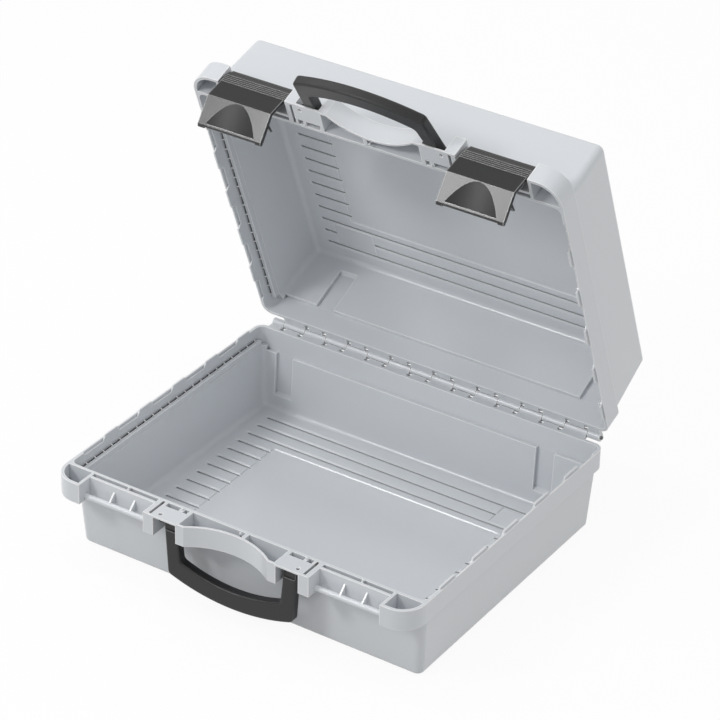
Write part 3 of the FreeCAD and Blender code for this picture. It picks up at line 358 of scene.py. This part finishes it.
def make_plastic(
    name, *, colour, roughness, speck, grain_strength, spread, edge_round, edge_highlight_colour, edge_highlight_strength, gloss
):
    """Satin moulded plastic with a fine grain, faint cloudiness, painted shade in the crevices and
    painted highlights along the sharp edges.
    """
    material = bpy.data.materials.new(name)
    material.use_nodes = True
    tree = material.node_tree
    shader = tree.nodes["Principled BSDF"]
    place = tree.nodes.new("ShaderNodeTexCoord").outputs["Object"]
    tone = tree.nodes.new("ShaderNodeGroup")
    tone.node_tree = bpy.data.node_groups["moulded_tone_and_painted_light"]
    tone.inputs["Colour"].default_value = (*colour, 1.0)
    tone.inputs["Spread"].default_value = spread
    tone.inputs["Edge Highlight Colour"].default_value = (*edge_highlight_colour, 1.0)
    tone.inputs["Edge Highlight Strength"].default_value = edge_highlight_strength
    relief = tree.nodes.new("ShaderNodeGroup")
    relief.node_tree = bpy.data.node_groups["moulded_relief"]
    tree.links.new(relief.outputs["Crevice"], tone.inputs["Crevice"])
    tree.links.new(relief.outputs["Edge"], tone.inputs["Edge"])
    tree.links.new(place, tone.inputs["Vector"])
    tree.links.new(tone.outputs["Colour"], shader.inputs["Base Color"])
    grain = tree.nodes.new("ShaderNodeGroup")
    grain.node_tree = bpy.data.node_groups["moulded_grain"]
    grain.inputs["Speck Size"].default_value = speck
    tree.links.new(place, grain.inputs["Vector"])
    bump = tree.nodes.new("ShaderNodeBump")
    bump.inputs["Strength"].default_value = grain_strength
    bump.inputs["Distance"].default_value = speck * GRAIN_HEIGHT_SHARE
    tree.links.new(grain.outputs["Height"], bump.inputs["Height"])
    edges = tree.nodes.new("ShaderNodeBevel")
    edges.samples = EDGE_ROUND_SAMPLES
    edges.inputs["Radius"].default_value = edge_round
    tree.links.new(edges.outputs["Normal"], bump.inputs["Normal"])
    tree.links.new(bump.outputs["Normal"], shader.inputs["Normal"])
    lowest = roughness - CLOUD_ROUGHNESS / 2
    rough = add_math(tree, "MULTIPLY_ADD", tone.outputs["Mask"], CLOUD_ROUGHNESS, lowest)
    tree.links.new(rough, shader.inputs["Roughness"])
    shader.inputs["Coat Weight"].default_value = gloss
    shader.inputs["Coat Roughness"].default_value = COAT_ROUGHNESS
    return material


def make_steel(name, colour):
    """Drawn steel wire with fine lines along it."""
    material = bpy.data.materials.new(name)
    material.use_nodes = True
    tree = material.node_tree
    shader = tree.nodes["Principled BSDF"]
    shader.inputs["Base Color"].default_value = (*colour, 1.0)
    shader.inputs["Metallic"].default_value = 1.0
    place = tree.nodes.new("ShaderNodeTexCoord").outputs["Object"]
    stretch = tree.nodes.new("ShaderNodeMapping")
    stretch.inputs["Scale"].default_value = WIRE_STRETCH
    tree.links.new(place, stretch.inputs["Vector"])
    lines = add_noise(tree, stretch.outputs["Vector"], 1.0, WIRE_DETAIL)
    rough = add_math(tree, "MULTIPLY_ADD", lines, WIRE_ROUGHNESS_SPREAD, WIRE_ROUGHNESS)
    tree.links.new(rough, shader.inputs["Roughness"])
    return material


def dress(node, material):
    """Give a piece of the frame its material."""
    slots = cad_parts[node].data.materials
    slots.clear()
    slots.append(material)


class CASE_OT_finish_shells(bpy.types.Operator):
    """Give both halves their grained light grey plastic."""

    bl_idname = "case.finish_shells"
    bl_label = "Finish the shells"

    def execute(self, context):
        settings = context.scene.case_shells
        grey = make_plastic(
            "grey moulded plastic",
            colour=settings.colour,
            roughness=settings.roughness,
            speck=settings.grain_size,
            grain_strength=0.25,
            spread=0.04,
            edge_round=settings.edge_round,
            # white painted highlight along the edges
            edge_highlight_colour=(1.0, 1.0, 1.0),
            edge_highlight_strength=0.8,
            gloss=0.5,
        )
        for node in SHELLS:
            dress(node, grey)
        return {"FINISHED"}


class CASE_OT_finish_latches(bpy.types.Operator):
    """Give the latches their black plastic."""

    bl_idname = "case.finish_latches"
    bl_label = "Finish the latches"

    def execute(self, context):
        settings = context.scene.case_fittings
        black = make_plastic(
            "black latch plastic",
            colour=settings.colour,
            roughness=settings.roughness,
            speck=0.0006,
            grain_strength=0.05,
            spread=0.1,
            edge_round=0.00015,
            # grey painted highlight along the edges
            edge_highlight_colour=(0.3, 0.3, 0.3),
            edge_highlight_strength=0.8,
            gloss=0.25,
        )
        for node in LATCHES:
            dress(node, black)
        return {"FINISHED"}


class CASE_OT_finish_handles(bpy.types.Operator):
    """Give the handles their black plastic."""

    bl_idname = "case.finish_handles"
    bl_label = "Finish the handles"

    def execute(self, context):
        settings = context.scene.case_fittings
        black = make_plastic(
            "black handle plastic",
            colour=settings.colour,
            roughness=settings.roughness + 0.04,
            speck=0.0008,
            grain_strength=0.35,
            spread=0.1,
            edge_round=settings.edge_round,
            # grey painted highlight along the edges
            edge_highlight_colour=(0.25, 0.25, 0.25),
            edge_highlight_strength=0.8,
            gloss=0.0,
        )
        for node in HANDLES:
            dress(node, black)
        return {"FINISHED"}


class CASE_OT_finish_rod(bpy.types.Operator):
    """Give the hinge rod its drawn steel."""

    bl_idname = "case.finish_rod"
    bl_label = "Finish the hinge rod"

    def execute(self, context):
        settings = context.scene.case_fittings
        dress(ROD, make_steel("drawn steel", settings.rod_colour))
        return {"FINISHED"}


def add_lamp(name, place, target, size, power, length=None):
    """Soft lamp that looks at a point, square or, with a length, a long strip."""
    light = bpy.data.lights.new(name, "AREA")
    light.energy = power
    light.size = size
    if length is not None:
        light.shape = "RECTANGLE"
        light.size_y = length
    lamp = bpy.data.objects.new(name, light)
    bpy.context.collection.objects.link(lamp)
    aim = (Vector(target) - Vector(place)).to_track_quat("-Z", "Y").to_matrix().to_4x4()
    lamp.matrix_world = Matrix.Translation(place) @ aim


def make_floor_material():
    """Pale floor that looks white to the camera and keeps a soft shadow."""
    material = bpy.data.materials.new("studio floor")
    material.use_nodes = True
    tree = material.node_tree
    shader = tree.nodes["Principled BSDF"]
    shader.inputs["Base Color"].default_value = FLOOR_COLOUR
    shader.inputs["Roughness"].default_value = FLOOR_ROUGHNESS
    glow = tree.nodes.new("ShaderNodeEmission")
    path = tree.nodes.new("ShaderNodeLightPath")
    seen = add_math(tree, "MAXIMUM", path.outputs["Is Camera Ray"], path.outputs["Is Glossy Ray"])
    glow.inputs["Strength"].default_value = FLOOR_GLOW
    share = add_math(tree, "MULTIPLY", seen, FLOOR_GLOW_SHARE)
    mix = tree.nodes.new("ShaderNodeMixShader")
    tree.links.new(share, mix.inputs["Fac"])
    tree.links.new(shader.outputs["BSDF"], mix.inputs[1])
    tree.links.new(glow.outputs["Emission"], mix.inputs[2])
    tree.links.new(mix.outputs["Shader"], tree.nodes["Material Output"].inputs["Surface"])
    return material


def make_sky(strength):
    """Even light all round, white where the camera sees it."""
    world = bpy.data.worlds.new("studio")
    world.use_nodes = True
    tree = world.node_tree
    background = tree.nodes["Background"]
    background.inputs["Color"].default_value = (1.0, 1.0, 1.0, 1.0)
    path = tree.nodes.new("ShaderNodeLightPath")
    seen = add_math(tree, "MAXIMUM", path.outputs["Is Camera Ray"], path.outputs["Is Transmission Ray"])
    extra = add_math(tree, "MULTIPLY", seen, 1.0 - strength)
    total = add_math(tree, "ADD", extra, strength)
    tree.links.new(total, background.inputs["Strength"])
    bpy.context.scene.world = world


def add_floor(size):
    """Flat floor under the case."""
    mesh = bpy.data.meshes.new("floor")
    shape = bmesh.new()
    bmesh.ops.create_grid(shape, x_segments=1, y_segments=1, size=size / 2)
    shape.to_mesh(mesh)
    shape.free()
    floor = bpy.data.objects.new("floor", mesh)
    floor.data.materials.append(make_floor_material())
    bpy.context.collection.objects.link(floor)
    floor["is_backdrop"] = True


def add_camera(settings):
    """Camera at the photograph's place, turned by azimuth, elevation and roll."""
    data = bpy.data.cameras.new("camera")
    data.lens = settings.camera_lens
    data.sensor_width = CAMERA_SENSOR
    data.clip_end = CAMERA_CLIP
    camera = bpy.data.objects.new("camera", data)
    bpy.context.collection.objects.link(camera)
    turn = (
        Matrix.Rotation(settings.camera_azimuth, 4, "Z")
        @ Matrix.Rotation(math.radians(90) - settings.camera_elevation, 4, "X")
        @ Matrix.Rotation(settings.camera_roll, 4, "Z")
    )
    camera.matrix_world = Matrix.Translation(settings.camera_place) @ turn
    bpy.context.scene.camera = camera


class CASE_OT_set_stage(bpy.types.Operator):
    """Set the floor, the lamps, the sky and the camera."""

    bl_idname = "case.set_stage"
    bl_label = "Set the stage"

    def execute(self, context):
        settings = context.scene.case_stage
        add_floor(settings.floor_size)
        make_sky(settings.sky_strength)
        low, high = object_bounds()
        centre = (Vector(low) + Vector(high)) / 2
        add_lamp("key", KEY_PLACE, centre, KEY_SIZE, settings.key_power)
        add_lamp("top", TOP_PLACE, centre, TOP_SIZE, settings.top_power)
        add_lamp("strip", STRIP_PLACE, centre, STRIP_SIZE, settings.strip_power, STRIP_LENGTH)
        add_camera(settings)
        context.scene.view_settings.view_transform = "Standard"
        return {"FINISHED"}


class CASE_PT_panel(bpy.types.Panel):
    """Lists the steps that dress the case."""

    bl_label = "Tool case"
    bl_idname = "CASE_PT_panel"
    bl_space_type = "VIEW_3D"
    bl_region_type = "UI"
    bl_category = "Tool case"

    def draw(self, context):
        layout = self.layout
        for group in (context.scene.case_shells, context.scene.case_fittings, context.scene.case_stage):
            box = layout.box()
            for name in group.__annotations__:
                box.prop(group, name)
        for operator in OPERATORS:
            layout.operator(operator.bl_idname)


OPERATORS = (
    CASE_OT_finish_shells,
    CASE_OT_finish_latches,
    CASE_OT_finish_handles,
    CASE_OT_finish_rod,
    CASE_OT_set_stage,
)
CLASSES = (ShellSettings, FittingSettings, StageSettings) + OPERATORS + (CASE_PT_panel,)


def register():
    for kind in CLASSES:
        bpy.utils.register_class(kind)
    bpy.types.Scene.case_shells = bpy.props.PointerProperty(type=ShellSettings)
    bpy.types.Scene.case_fittings = bpy.props.PointerProperty(type=FittingSettings)
    bpy.types.Scene.case_stage = bpy.props.PointerProperty(type=StageSettings)


def unregister():
    del bpy.types.Scene.case_stage
    del bpy.types.Scene.case_fittings
    del bpy.types.Scene.case_shells
    for kind in reversed(CLASSES):
        bpy.utils.unregister_class(kind)


def main():
    """Dress the case and set the stage."""
    register()
    make_grain_group()
    make_relief_group()
    make_tone_group()
    bpy.ops.case.finish_shells()
    bpy.ops.case.finish_latches()
    bpy.ops.case.finish_handles()
    bpy.ops.case.finish_rod()
    bpy.ops.case.set_stage()


if __name__ == "__main__":
    main()
